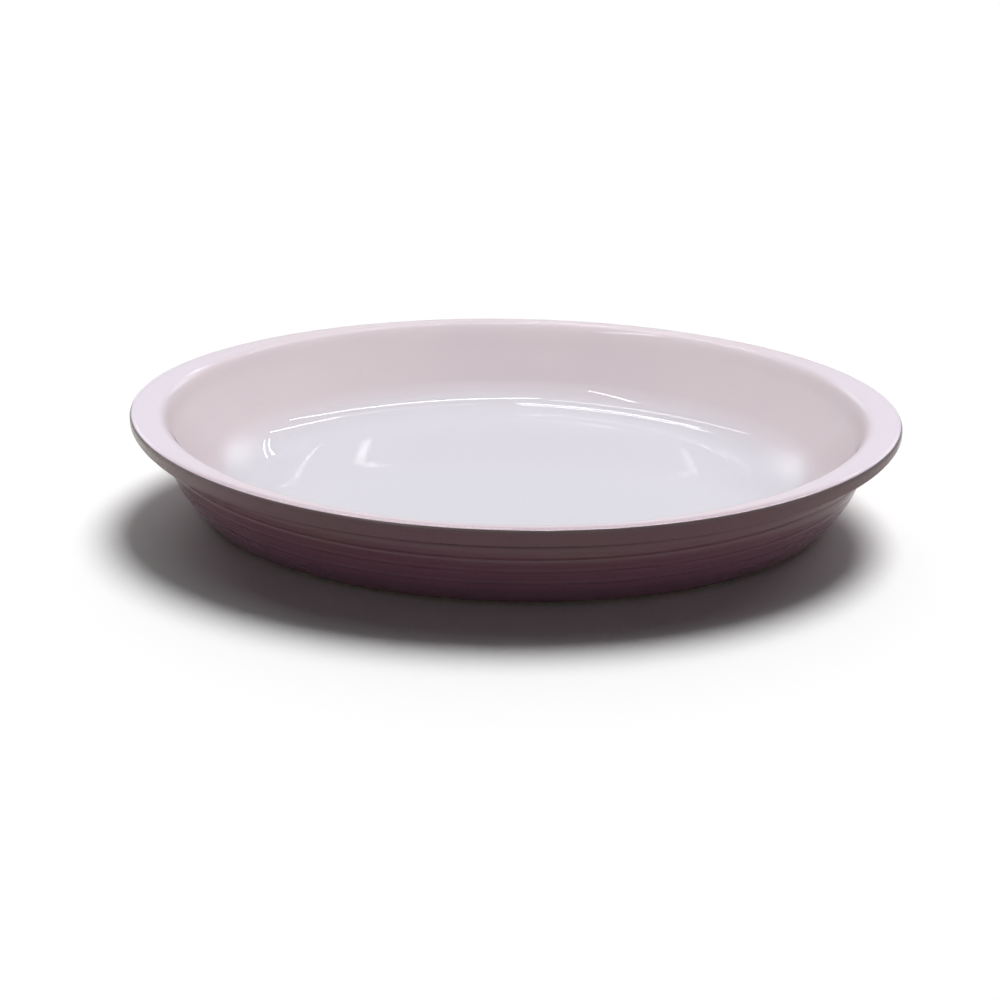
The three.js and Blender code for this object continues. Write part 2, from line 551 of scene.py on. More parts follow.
    def carry(self, ends: np.ndarray, sides: np.ndarray) -> np.ndarray:
        """Carries a pair of sections round the oval, as the file's first lines say.

        Args:
            ends: Stations of the section towards a lug.
            sides: The same stations of the section towards a side.

        Returns:
            A grid of stations by turns by x, y and z.
        """
        cosine, sine = np.cos(self.turns), np.sin(self.turns)
        spread, taper = np.abs(cosine) ** self.lug_spread, np.abs(cosine) ** self.lug_taper
        climb = ends[:, 1:] - sides[:, 1:]
        lift = np.minimum(climb, self.lug_lift)
        level = sides[:, 1:] + lift * spread + (climb - lift) * taper
        across = sides[:, :1] * sine * (1 - self.lug_narrow * spread)
        return np.stack([ends[:, :1] * cosine, across, level], axis=2)

    def inner_skin(self, coat: float) -> np.ndarray:
        """The inside of the dish as a grid, with a coat on it."""
        return self.carry(self.inner_section(self.end, coat), self.inner_section(self.side, coat))

    def outer_skin(self, coat: float) -> np.ndarray:
        """The outside of the dish as a grid, with a coat on it, and with the unevenness of its making.

        The wall is moved in and out by a few slow sine waves round the oval and up the wall, which die
        away towards the collar and the foot.

        Args:
            coat: Thickness of glaze on the clay.

        Returns:
            A grid of stations by turns by x, y and z.
        """
        grid = self.carry(self.outer_section(self.end, coat), self.outer_section(self.side, coat))
        level = grid[:, :, 2]
        above_foot = ramp(level, self.glaze_line, self.lowest_band)
        below_collar = ramp(level, self.wall_top, self.band_start)
        up = FULL_TURN * level / self.rib_pitch
        wave = sum(swing.height(self.turns, up) for swing in self.swings)
        proud = self.throwing_wave * above_foot * below_collar * wave
        spoke = grid[:, :, :2] / np.linalg.norm(grid[:, :, :2], axis=2, keepdims=True)
        grid[:, :, :2] += proud[:, :, None] * spoke
        return grid

    def foot_skin(self) -> np.ndarray:
        """The bare foot as a grid."""
        return self.carry(self.foot_section(self.end), self.foot_section(self.side))

    def recess_skin(self, coat: float) -> np.ndarray:
        """The recess under the dish as a grid, with a coat on it."""
        return self.carry(self.recess_section(self.end, coat), self.recess_section(self.side, coat))


def thinned(grid: np.ndarray, every: int = 4) -> np.ndarray:
    """Keeps every so many rings of a grid, and its last one, for a face that nothing shows."""
    keep = np.unique(np.append(np.arange(0, len(grid), every), len(grid) - 1))
    return grid[keep]


def skin_corners(count: int, around: int, close: Close) -> list[np.ndarray]:
    """Finds the corners of a skin's faces: four neighbours of the grid, or three at a pole.

    Args:
        count: Rings in the grid.
        around: Points in a ring.
        close: How the first and last ring are closed.

    Returns:
        Arrays of faces by corners, each corner a point's number in the grid.
    """
    index = np.arange(count * around).reshape(count, around)
    corners = []
    if close is Close.POLES:
        first, last = index[0, 0], index[-1, 0]
        near, far = index[1], index[-2]
        corners.append(np.stack([np.full(around, first), near, np.roll(near, -1)], axis=1))
        corners.append(np.stack([far, np.full(around, last), np.roll(far, -1)], axis=1))
        index = index[1:-1]
    else:
        index = np.concatenate([index, index[:1]])
    beside = np.roll(index, -1, axis=1)
    strips = np.stack([index[:-1], index[1:], beside[1:], beside[:-1]], axis=2)
    corners.append(strips.reshape(-1, 4))
    return corners


def sharpen(mesh: bpy.types.Mesh, ring: np.ndarray, creases: list[int]) -> None:
    """Marks the edges that run along some rings as sharp.

    Args:
        mesh: The mesh.
        ring: The ring of each of its points.
        creases: The rings that stay sharp.
    """
    pairs = np.zeros(2 * len(mesh.edges), np.int32)
    mesh.edges.foreach_get("vertices", pairs)
    one, two = ring[pairs].reshape(-1, 2).T
    sharp = mesh.attributes.new("sharp_edge", "BOOLEAN", "EDGE")
    sharp.data.foreach_set("value", (one == two) & np.isin(one, creases))


def closed_piece(
    name: str,
    rings: np.ndarray,
    close: Close,
    creases: list[int],
    marks: dict[Mark, np.ndarray],
) -> bpy.types.Object:
    """Skins rings in order into a closed, smoothly shaded mesh.

    Args:
        name: The piece's name.
        rings: Grid of rings by turns by x, y and z, with the solid on the right of the section's way.
        close: How the first and last ring are closed.
        creases: Rings that stay sharp.
        marks: Values at the grid's points, for the finish to read.

    Returns:
        The piece, linked to the scene, at the origin.
    """
    count, around, _ = rings.shape
    corners = skin_corners(count, around, close)
    used, number = np.unique(np.concatenate([face.ravel() for face in corners]), return_inverse=True)
    parts = np.split(number, np.cumsum([face.size for face in corners])[:-1])
    faces = [row for face, part in zip(corners, parts) for row in part.reshape(face.shape).tolist()]
    mesh = bpy.data.meshes.new(name)
    mesh.from_pydata(rings.reshape(-1, 3)[used].tolist(), [], faces)
    mesh.polygons.foreach_set("use_smooth", np.ones(len(faces), bool))
    sharpen(mesh, used // around, creases)
    for mark, values in marks.items():
        layer = mesh.attributes.new(mark.value, "FLOAT", "POINT")
        layer.data.foreach_set("value", values.reshape(-1)[used].astype(np.float32))
    mesh.update()
    piece = bpy.data.objects.new(name, mesh)
    bpy.context.scene.collection.objects.link(piece)
    return piece


@dataclass(frozen=True)
class Grain:
    """Cloudy noise: how far apart its clouds are, and how many finer layers lie on them."""

    size: float
    detail: float


class Bench:
    """A node graph under way, with short calls to add nodes and join them."""

    def __init__(self, tree: bpy.types.NodeTree) -> None:
        """Empties the tree."""
        self.tree = tree
        tree.nodes.clear()

    def add(
        self, kind: str, settings: dict[str, object] | None = None, **inputs: object
    ) -> bpy.types.Node:
        """Adds a node.

        Args:
            kind: The node's type, without its prefix.
            settings: Properties of the node itself.
            inputs: Values or sockets for its inputs, by name with underscores for spaces.

        Returns:
            The node.
        """
        node = self.tree.nodes.new("ShaderNode" + kind)
        for key, value in (settings or {}).items():
            setattr(node, key, value)
        for key, value in inputs.items():
            self.set(node.inputs[key.replace("_", " ")], value)
        return node

    def set(self, socket: Socket, value: object) -> None:
        """Joins a socket to another one, or gives it a value.

        Args:
            socket: The input.
            value: The other socket, or the value.
        """
        if isinstance(value, Socket):
            self.tree.links.new(value, socket)
        else:
            socket.default_value = value

    def finish(self, kind: str, shader: bpy.types.Node) -> None:
        """Ends the graph with an output of some kind that shows the shader."""
        self.set(self.add(kind).inputs["Surface"], shader.outputs[0])

    def math(self, operation: str, *values: object) -> Socket:
        """Adds a sum, product or other operation, whose result is kept between 0 and 1.

        Args:
            operation: What to work out.
            values: One to three values or sockets.

        Returns:
            The result.
        """
        node = self.add("Math", {"operation": operation, "use_clamp": True})
        for socket, value in zip(node.inputs, values):
            self.set(socket, value)
        return node.outputs[0]

    def spread(self, value: Socket, band: Span, ends: Span = (0, 1)) -> Socket:
        """Maps a value in a band evenly to between two ends, and what lies outside to the nearer end."""
        limits = {"From_Min": band[0], "From_Max": band[1], "To_Min": ends[0], "To_Max": ends[1]}
        return self.add("MapRange", None, Value=value, **limits).outputs[0]

    def blend(self, factor: object, one: object, two: object) -> Socket:
        """Mixes two colours.

        Args:
            factor: 0 for the first colour, to 1 for the second.
            one: The first colour.
            two: The second colour.

        Returns:
            The mixed colour.
        """
        node = self.add("Mix", {"data_type": "RGBA"})
        for slot, value in zip(MIX_INPUTS, (factor, one, two)):
            self.set(node.inputs[slot], value)
        return node.outputs[MIX_RESULT]

    def noise(self, place: Socket, grain: Grain) -> Socket:
        """Adds cloudy noise."""
        node = self.add("TexNoise", None, Vector=place, Scale=1 / grain.size, Detail=grain.detail)
        return node.outputs[0]

    def specks(self, place: Socket, gap: float, share: float, radius: float) -> Socket:
        """Adds round specks in some cells of a random honeycomb.

        Args:
            place: Where on the piece.
            gap: Size of the cells.
            share: Share of the cells that have a speck.
            radius: Radius of a speck, as a share of a cell.

        Returns:
            A mask that is 1 in the middle of a speck.
        """
        cells = self.add("TexVoronoi", None, Vector=place, Scale=1 / gap)
        spot = self.spread(cells.outputs["Distance"], (radius, radius * SPECK_CORE))
        draw = self.add("SeparateColor", None, Color=cells.outputs["Color"])
        return self.math("MULTIPLY", spot, self.math("LESS_THAN", draw.outputs[0], share))


def new_material(name: str) -> tuple[bpy.types.Material, Bench]:
    """Makes an empty material.

    Args:
        name: The material's name.

    Returns:
        The material, and a bench for its graph.
    """
    made = bpy.data.materials.new(name)
    made.use_nodes = True
    return made, Bench(made.node_tree)


@dataclass(frozen=True)
class GlazeFinish:
    """A fired glaze: its colours where it lies evenly, thin and pooled, its painted light and shade, its
    gloss and its fine relief.
    """

    name: str
    even: Rgb
    cloud: Rgb  # what the even colour drifts to in soft clouds
    thin: Rgb
    # pool colour, also painted light on the inner lug tops and painted shade under the outer collar
    pool: Rgb
    foot: Rgb  # painted tone towards the foot or the floor: lighter and bluer low on the outer wall, for light it lacks; cooler on the inner floor, for cool light from above
    speck: Rgb
    speck_share: float
    gloss: Span  # roughness from the cleanest to the most worn places
    index: float  # of refraction
    cloud_grain: Grain = Grain(45 * MM, 5)
    cloud_band: Span = (0.35, 0.65)  # of the noise, over which the colour drifts
    fleck_grain: Grain = Grain(1.2 * MM, 2)
    fleck_band: Span = (0.35, 0.75)  # of the noise, over which fine flecks of the pool's colour come in
    fleck_strength: float = 0.12
    ragged_band: Span = (0.3, 0.7)  # of the same noise, over which a thin edge comes in
    ragged_least: float = 0.65  # share of a thin edge that shows everywhere
    speck_gap: float = 4 * MM
    speck_radius: float = 0.07  # as a share of the gap
    wear_grain: Grain = Grain(9 * MM, 6)
    wear_band: Span = (0.35, 0.7)  # of the noise, over which the gloss wears off
    wave_grain: Grain = Grain(14 * MM, 1)
    wave_height: float = 0.010 * MM
    peel_grain: Grain = Grain(2.2 * MM, 2)
    peel_height: float = 0.003 * MM

    def material(self) -> bpy.types.Material:
        """Builds the glaze: drifting colour, thin edges, pools, painted light and shade, and specks over a
        glossy base.

        Returns:
            The material, which is made once.
        """
        if self.name in bpy.data.materials:
            return bpy.data.materials[self.name]
        made, bench = new_material(self.name)
        place = bench.add("TexCoord").outputs["Object"]
        thin, pool, depth = (
            bench.add("Attribute", {"attribute_name": mark.value}).outputs["Fac"] for mark in Mark
        )
        clouds = bench.spread(bench.noise(place, self.cloud_grain), self.cloud_band)
        flecks = bench.noise(place, self.fleck_grain)
        colour = bench.blend(clouds, linear(self.even), linear(self.cloud))
        # Painted tone: lighter and bluer low on the outer wall, for light it lacks; cooler on the inner
        # floor, for cool light from above
        colour = bench.blend(depth, colour, linear(self.foot))
        ragged = bench.spread(flecks, self.ragged_band, (self.ragged_least, 1))
        colour = bench.blend(bench.math("MULTIPLY", thin, ragged), colour, linear(self.thin))
        # Pooled glaze, and also painted light and shade in the pool's colour
        colour = bench.blend(pool, colour, linear(self.pool))
        fine = bench.spread(flecks, self.fleck_band, (0, self.fleck_strength))
        colour = bench.blend(fine, colour, linear(self.pool))
        specks = bench.specks(place, self.speck_gap, self.speck_share, self.speck_radius)
        colour = bench.blend(specks, colour, linear(self.speck))
        roughness = bench.spread(bench.noise(place, self.wear_grain), self.wear_band, self.gloss)
        swell = bench.noise(place, self.wave_grain)
        waves = bench.add("Bump", None, Distance=self.wave_height, Height=swell)
        peel = bench.noise(place, self.peel_grain)
        relief = bench.add("Bump", None, Distance=self.peel_height, Height=peel, Normal=waves.outputs[0])
        shader = bench.add("BsdfPrincipled", None, Base_Color=colour, Roughness=roughness, IOR=self.index)
        bench.set(shader.inputs["Normal"], relief.outputs[0])
        bench.finish("OutputMaterial", shader)
        return made


@dataclass(frozen=True)
class BareClayFinish:
    """Unglazed stoneware: a buff body with sandy grain, iron specks and a rubbed foot."""

    name: str = "bare_stoneware"
    body: Rgb = (208, 188, 167)
    sand: Rgb = (184, 160, 136)
    sand_band: Span = (0.35, 0.65)  # of the mixed noise, over which the body turns sandy
    iron: Rgb = (110, 80, 62)
    iron_gap: float = 1.5 * MM
    iron_share: float = 0.25  # of the gaps that have a speck
    iron_radius: float = 0.16  # as a share of the gap
    fine_grain: Grain = Grain(0.6 * MM, 6)
    fine_share: float = 0.7  # of the fine grain in the mixed noise, where the rest is patches
    grain_height: float = 0.06 * MM
    patch_grain: Grain = Grain(20 * MM, 3)
    rubbed_band: Span = (0.3, 0.7)  # of the patches, from the most rubbed to the least
    rubbed: Span = (0.72, 0.9)  # roughness there

    def material(self) -> bpy.types.Material:
        """Builds the clay: two sizes of grain in its colour, the finer one in relief, and iron specks.

        Returns:
            The material.
        """
        made, bench = new_material(self.name)
        place = bench.add("TexCoord").outputs["Object"]
        grain = bench.noise(place, self.fine_grain)
        patches = bench.noise(place, self.patch_grain)
        coarse = bench.math("MULTIPLY", patches, 1 - self.fine_share)
        sandy = bench.spread(bench.math("MULTIPLY_ADD", grain, self.fine_share, coarse), self.sand_band)
        colour = bench.blend(sandy, linear(self.body), linear(self.sand))
        specks = bench.specks(place, self.iron_gap, self.iron_share, self.iron_radius)
        colour = bench.blend(specks, colour, linear(self.iron))
        roughness = bench.spread(patches, self.rubbed_band, self.rubbed)
        relief = bench.add("Bump", None, Distance=self.grain_height, Height=grain)
        shader = bench.add("BsdfPrincipled", None, Base_Color=colour, Roughness=roughness)
        bench.set(shader.inputs["Normal"], relief.outputs[0])
        bench.finish("OutputMaterial", shader)
        return made


PALE_GLAZE = GlazeFinish(
    name="pale_pink_glaze",
    even=(211, 201, 203),
    cloud=(208, 198, 201),
    thin=(172, 150, 158),
    # painted light: lighter, bluer tops of the lugs and rim
    pool=(211, 204, 213),
    # painted cooler tone on the floor, for cool light from above
    foot=(198, 198, 203),
    speck=(190, 168, 160),
    speck_share=0.06,
    gloss=(0.01, 0.03),
    index=1.5,
    fleck_strength=0.05,
    wave_height=0.002 * MM,
    peel_height=0.0004 * MM,
)
MAUVE_GLAZE = GlazeFinish(
    name="dusky_mauve_glaze",
    even=(85, 53, 64),
    cloud=(86, 58, 62),
    # also the painted sheen towards the lugs and the painted highlight on the left lug
    thin=(165, 156, 152),
    # partly painted shade: under the collar and in the grooves
    pool=(50, 28, 36),
    # painted lift: lighter and bluer on the lower bands, for light they lack
    foot=(93, 62, 77),
    speck=(64, 44, 46),
    speck_share=0.12,
    gloss=(0.16, 0.26),
    index=1.38,
)


@dataclass
class DishPiece(ABC):
    """One layer of the dish: the form it follows, its finish, its name and the solid it stands for."""

    form: DishForm
    finish: GlazeFinish | BareClayFinish
    name: str
    node: str

    @abstractmethod
    def build(self) -> bpy.types.Object:
        """Builds the layer's mesh.

        Returns:
            The piece.
        """

    def dress(self, piece: bpy.types.Object) -> None:
        """Gives the mesh its finish."""
        piece.data.materials.append(self.finish.material())


@dataclass
class InteriorGlaze(DishPiece):
    """The pale coat on the floor, the inner wall, the rim and the tops of the lugs."""

    finish: GlazeFinish = PALE_GLAZE
    name: str = "interior_glaze_coat"
    node: str = "interior_glaze"
    cove_level: float = 14 * MM  # above the floor, where the painted cooler tone of the cove begins
    thin_edge: float = 3.0 * MM  # how far from the seam the coat begins to thin
    bare_edge: float = 0.4 * MM  # how near the seam it is at its thinnest
    rim_painted_light_share: float = 0.2  # how far the painted light of the lug tops reaches onto the rim, as a share of that on the lugs
    rim_soft: float = 3 * MM  # below the rim's top, where that begins

    def build(self) -> bpy.types.Object:
        """Builds the coat: its glazed face out to the seam, and the clay's face back to the axis.

        Returns:
            The piece.
        """
        face = self.form.inner_skin(self.form.glaze)
        back = thinned(self.form.inner_skin(0))[::-1]
        rings = np.concatenate([face, back])
        seam = len(face) - 1
        return closed_piece(self.name, rings, Close.POLES, [seam, seam + 1], self.marks(rings, seam))

    def marks(self, rings: np.ndarray, seam: int) -> dict[Mark, np.ndarray]:
        """Works out where the coat is thin, and where light and a cooler tone are painted on it.

        It thins over the last rings before the seam, with a smooth ramp of their distance from it. It takes
        the lighter, bluer pool colour as painted light on the tops of the lugs, with their rise above the
        rim, and a little on the rim, with a ramp of each ring's lowest level. It takes a painted cooler tone
        with a smooth ramp down to the floor.

        Args:
            rings: The coat's grid.
            seam: The ring at the seam.

        Returns:
            The values at the grid's points.
        """
        form, level = self.form, rings[:, :, 2]
        off = np.linalg.norm(rings - rings[seam], axis=2)
        floor, top = form.floor_top + form.glaze, form.rim_top + form.glaze
        # Painted light: the lug tops, and a little of the rim, take the lighter, bluer pool colour
        lugs = ramp(level, top, form.height)
        rim = ramp(level.min(axis=1, keepdims=True), top - self.rim_soft, top)
        return {
            Mark.THIN: ramp(off, self.thin_edge, self.bare_edge),
            Mark.POOL_AND_PAINTED_LIGHT: np.maximum(lugs, self.rim_painted_light_share * rim),
            # painted cooler tone down the cove to the floor
            Mark.DEPTH: ramp(level, floor + self.cove_level, floor),
        }


@dataclass
class ExteriorGlaze(DishPiece):
    """The dark coat on the collar, the lugs' undersides and the ribbed wall, down to the glaze line."""

    finish: GlazeFinish = MAUVE_GLAZE
    name: str = "exterior_glaze_coat"
    node: str = "exterior_glaze"
    soft: float = 0.9 * MM  # how far a pool or a thin edge fades out
    step_half: float = 2.2 * MM  # how far from a groove its painted step in colour starts and ends
    lip_rise: float = 1.5  # of a groove's lip above it, in half widths of the groove
    lip_share: float = 0.055  # how thin the coat gets on the lips of the grooves
    seam_share: float = 0.5  # at the seam
    end_sheen_share: float = 0.5  # painted sheen, in the thin colour, towards the lugs and on their edges
    left_thin_and_highlight_share: float = 0.9  # and more still on the left lug's edge: partly thinner glaze, partly a painted highlight
    left_rise: float = 0.5  # share of the collar's height over which that comes in
    end_sheen_power: float = 6  # of the reach, with which the painted sheen grows towards the lugs
    groove_share: float = 0.12  # how far it pools in the grooves, partly painted shade
    corner_pool_and_shade_share: float = 0.9  # and in the corner under the collar: partly pooled glaze, partly painted shade

    def build(self) -> bpy.types.Object:
        """Builds the coat: its glazed face down from the seam, and the clay's face back up.

        Returns:
            The piece.
        """
        face = self.form.outer_skin(self.form.glaze)
        back = thinned(self.form.outer_skin(0))[:-1][::-1]
        rings = np.concatenate([face, back])
        creases = [0, len(face) - 1, len(rings) - 1]
        return closed_piece(self.name, rings, Close.LOOP, creases, self.marks(rings))

    def bell(self, off: np.ndarray) -> np.ndarray:
        """Falls off as a bell curve of a distance: e to the minus square of it."""
        return np.exp(-((off / self.soft) ** 2))

    def marks(self, rings: np.ndarray) -> dict[Mark, np.ndarray]:
        """Works out where the coat is thin and pooled, and where light and shade are painted on it.

        It pools with the depth of the grooves and in the corner under the collar, where the dark pool colour
        is partly painted shade, and thins on the lips above the grooves and at the seam, each a bell curve of
        the distance. A painted sheen in the thin colour grows with a power of the reach towards the lugs, the
        more so on the left lug above the wall's top, where the paler edge is partly thinner glaze and partly
        a painted highlight. Its colour is painted one step lighter and bluer at each groove, for light the
        lower wall lacks.

        Args:
            rings: The coat's grid.

        Returns:
            The values at the grid's points.
        """
        form, level = self.form, rings[:, :, 2]
        groove = form.grooves(level.ravel()).reshape(level.shape)
        lip_level = (form.groove_levels + self.lip_rise * form.groove_half_width)[:, None, None]
        lips = self.bell(level - lip_level).sum(axis=0)
        seam = self.bell(np.linalg.norm(rings - rings[0], axis=2))
        reach = 2 * rings[:, :, 0] / form.length
        # Painted sheen: the thin colour grows towards the lugs, for the reflection of the white surroundings
        # at the ends
        end_sheen = np.abs(reach) ** self.end_sheen_power
        left_edge = ramp(level, form.wall_top, form.wall_top + self.left_rise * form.collar_height)
        # The left lug's paler edge: partly thinner glaze, partly a painted highlight
        left = end_sheen * (reach < 0) * left_edge
        # Painted lift: one step lighter and bluer at each groove, for light the lower wall lacks
        steps = [ramp(level, edge + self.step_half, edge - self.step_half) for edge in form.groove_levels]
        edges = self.lip_share * lips + self.seam_share * seam
        # Painted shade under the collar's edge and in the grooves, partly pooled glaze
        under_collar = level < form.wall_top + form.collar_ledge
        corner = self.bell(level - form.wall_top + form.glaze) * under_collar
        return {
            Mark.THIN: np.clip(edges + self.end_sheen_share * end_sheen + self.left_thin_and_highlight_share * left, 0, 1),
            Mark.POOL_AND_PAINTED_LIGHT: np.clip(self.groove_share * groove + self.corner_pool_and_shade_share * corner, 0, 1),
            Mark.DEPTH: np.mean(steps, axis=0),
        }


@dataclass
class UndersideGlaze(DishPiece):
    """The dark coat in the recess under the dish."""

    finish: GlazeFinish = MAUVE_GLAZE
    name: str = "underside_glaze_coat"
    node: str = "underside_glaze"
    thin_edge: float = 2.5 * MM  # how far from its edge the coat begins to thin
    thin_share: float = 0.7
    depth_share: float = 0.5  # how far its colour is mixed towards the painted low tone of the outer wall

    def build(self) -> bpy.types.Object:
        """Builds the coat: the clay's face out to the edge, and its glazed face back to the axis.

        Returns:
            The piece.
        """
        face = self.form.recess_skin(self.form.glaze)
        back = self.form.recess_skin(0)[::-1]
        rings = np.concatenate([back[:-1], face])
        edge = len(back) - 1
        off = np.linalg.norm(rings - rings[edge], axis=2)
        thin = self.thin_share * ramp(off, self.thin_edge, 0)
        deep = np.full_like(thin, self.depth_share)
        marks = {Mark.THIN: thin, Mark.POOL_AND_PAINTED_LIGHT: np.zeros_like(thin), Mark.DEPTH: deep}
        return closed_piece(self.name, rings, Close.POLES, [edge], marks)


@dataclass
class StonewareBody(DishPiece):
    """The clay under the glazes, which shows only on the foot."""

    finish: BareClayFinish = BareClayFinish()
    name: str = "bare_stoneware"
    node: str = "stoneware_body"

    def build(self) -> bpy.types.Object:
        """Builds the clay: inside, outside, foot and recess in one skin from axis to axis.

        Returns:
            The piece.
        """
        form = self.form
        recess = form.recess_skin(0)[form.steps.coat_edge :]
        outside = (thinned(form.outer_skin(0)), form.foot_skin(), recess)
        rings = np.concatenate([thinned(form.inner_skin(0)), *[skin[1:] for skin in outside]])
        return closed_piece(self.name, rings, Close.POLES, [], {})


class Duty(Enum):
    """What a lamp is for."""

    SHINE = "shine"  # it shows in reflections alone
    INSIDE = "inside"  # it lights the inside alone
    OUTSIDE = "outside"  # it lights the outside alone


@dataclass(frozen=True)
class Lamp:
    """A strip or panel lamp between two points, turned to the dish."""

    name: str
    start: Point
    stop: Point
    width: float
    glow: float  # brightness of its face, where 1 is as bright as the white surroundings
    edge: float = 0.0  # share of its length and width over which the glow fades in
    duty: Duty = Duty.SHINE
    colour: Rgb = WHITE

    @property
    def along(self) -> Vector:
        """The way from its start to its stop."""
        return Vector(self.stop) - Vector(self.start)

    @property
    def middle(self) -> Vector:
        """The point halfway along it."""
        return (Vector(self.stop) + Vector(self.start)) / 2

    def turn(self) -> Quaternion:
        """Finds how the lamp is turned: its length along the two points, its face square to the dish.

        Returns:
            The turn, from a lamp that lies along x and faces down.
        """
        along = self.along.normalized()
        back = (self.middle - self.middle.dot(along) * along).normalized()
        return Matrix((along, back.cross(along), back)).transposed().to_quaternion()

    def build(self, groups: dict[Duty, bpy.types.Collection]) -> None:
        """Hangs the lamp, hidden from the camera's direct view.

        Args:
            groups: What the lamps of each duty light.
        """
        length = self.along.length
        lamp = bpy.data.lights.new(self.name, "AREA")
        lamp.shape = "RECTANGLE"
        lamp.size, lamp.size_y = length, self.width
        lamp.energy = LAMP_WATTS * self.glow * length * self.width
        lamp.color = linear(self.colour)[:3]
        if self.edge:
            self.fade(lamp)
        hung = bpy.data.objects.new(self.name, lamp)
        hung.location = self.middle
        hung.rotation_mode = "QUATERNION"
        hung.rotation_quaternion = self.turn()
        hung.visible_camera = False
        hung.visible_glossy = self.duty is Duty.SHINE
        hung.visible_diffuse = self.duty is not Duty.SHINE
        if self.duty in groups:
            hung.light_linking.receiver_collection = groups[self.duty]
        bpy.context.scene.collection.objects.link(hung)

    def fade(self, lamp: bpy.types.AreaLight) -> None:
        """Fades the glow in from the edges: a smooth ramp along the face times one across it.

        Args:
            lamp: The lamp's light.
        """
        lamp.use_nodes = True
        bench = Bench(lamp.node_tree)
        place = bench.add("NewGeometry").outputs["Parametric"]
        face = bench.add("SeparateXYZ", None, Vector=place)
        limits = {"From_Min": 0.0, "From_Max": self.edge}
        glow = 1.0
        for across in face.outputs[:2]:
            off = bench.math("PINGPONG", across, LAMP_MIDDLE)
            smooth = bench.add("MapRange", {"interpolation_type": "SMOOTHSTEP"}, Value=off, **limits)
            glow = bench.math("MULTIPLY", smooth.outputs[0], glow)
        bench.finish("OutputLight", bench.add("Emission", None, Strength=glow))


@dataclass(frozen=True)
class BroadLight:
    """A light from a wide round patch of sky, which reflections leave out."""

    name: str
    direction: Point  # towards the middle of the patch
    strength: float
    angle: float  # across the patch, in degrees
    colour: Rgb = WHITE

    def build(self, lit: bpy.types.Collection) -> None:
        """Sets the light.

        Args:
            lit: The objects that it lights, and no others.
        """
        lamp = bpy.data.lights.new(self.name, "SUN")
        lamp.energy = self.strength
        lamp.color = linear(self.colour)[:3]
        lamp.angle = math.radians(self.angle)
        hung = bpy.data.objects.new(self.name, lamp)
        hung.rotation_mode = "QUATERNION"
        hung.rotation_quaternion = Vector(self.direction).to_track_quat("Z", "Y")
        hung.visible_glossy = False
        hung.light_linking.receiver_collection = lit
        bpy.context.scene.collection.objects.link(hung)


COOL: Rgb = (246, 248, 255)
WARM: Rgb = (255, 248, 247)
# The nodes whose pieces the lamps of a duty light
LIT_NODES = {
    Duty.INSIDE: ("interior_glaze",),
    Duty.OUTSIDE: ("exterior_glaze", "underside_glaze"),
}
TABLE_LIGHTS = (
    BroadLight("table_light", (0.20, 0.54, 1.0), 2.96, 26),
    BroadLight("table_wash", (0.06, 1.17, 1.0), 1.02, 92),
)
INSIDE_LIGHT = BroadLight("inside_light", (0.04, -0.10, 1.0), 2.10, 80, COOL)
# Each lamp's name, its two ends, its width and its glow
LAMPS = (
    Lamp("front_fill", (-0.6, -1.5, 1.3), (0.6, -1.5, 1.3), 1.5, 2.1, duty=Duty.INSIDE, colour=WARM),
    Lamp("left_fill", (-1.6, -0.4, 1.3), (-1.6, 0.4, 1.3), 0.8, 3.3, duty=Duty.INSIDE, colour=WARM),
    Lamp("right_fill", (1.6, 0.4, 1.3), (1.6, -0.4, 1.3), 0.8, 4.0, duty=Duty.INSIDE, colour=WARM),
    Lamp("back_fill", (0.6, 1.5, 1.3), (-0.6, 1.5, 1.3), 1.5, 1.1, duty=Duty.INSIDE, colour=WARM),
    Lamp("low_front_fill", (-1.2, -2.0, 0.25), (1.2, -2.0, 0.25), 0.5, 1.10, duty=Duty.OUTSIDE),
    Lamp("low_left_fill", (-2.2, 1.0, 0.25), (-2.2, -1.0, 0.25), 0.5, 2.8, duty=Duty.OUTSIDE),
    Lamp("low_right_fill", (2.2, -1.0, 0.25), (2.2, 1.0, 0.25), 0.5, 3.1, duty=Duty.OUTSIDE),
    Lamp("low_back_fill", (1.2, 2.0, 0.25), (-1.2, 2.0, 0.25), 0.5, 1.65, duty=Duty.OUTSIDE),
    Lamp("left_back_panel", (-8.6, 2.8, 5.2), (-2.4, 8.6, 5.2), 6.0, 2.0, edge=0.48, colour=COOL),
    Lamp("right_back_panel", (2.4, 8.6, 5.2), (8.6, 2.8, 5.2), 6.0, 2.0, edge=0.48, colour=COOL),
    Lamp("front_tube", (5.7, 0.0, 6.0), (-0.6, -2.9, 6.0), 0.18, 20),
    Lamp("right_tube", (5.1, 2.2, 6.0), (2.6, 0.3, 6.0), 0.18, 14),
    Lamp("right_tube_tail", (2.6, 0.3, 6.0), (0.3, -0.5, 6.0), 0.10, 6),
    Lamp("left_tube", (-0.2, -0.8, 6.0), (-2.85, 1.05, 6.0), 0.13, 22),
    Lamp("second_left_tube", (-0.2, -0.2, 6.0), (-2.85, 1.65, 6.0), 0.12, 16),
    Lamp("far_left_tube", (-0.8, -2.4, 6.0), (-5.9, 0.9, 6.0), 0.16, 9),
    Lamp("low_front_tube", (-3.5, -9.8, 6.0), (-3.4, -4.2, 6.0), 0.22, 15),
    Lamp("right_back_tube", (4.05, 3.2, 6.0), (1.5, 6.0, 6.0), 0.07, 12),
    Lamp("second_right_back_tube", (4.35, 3.4, 6.0), (1.8, 6.2, 6.0), 0.07, 12),
)


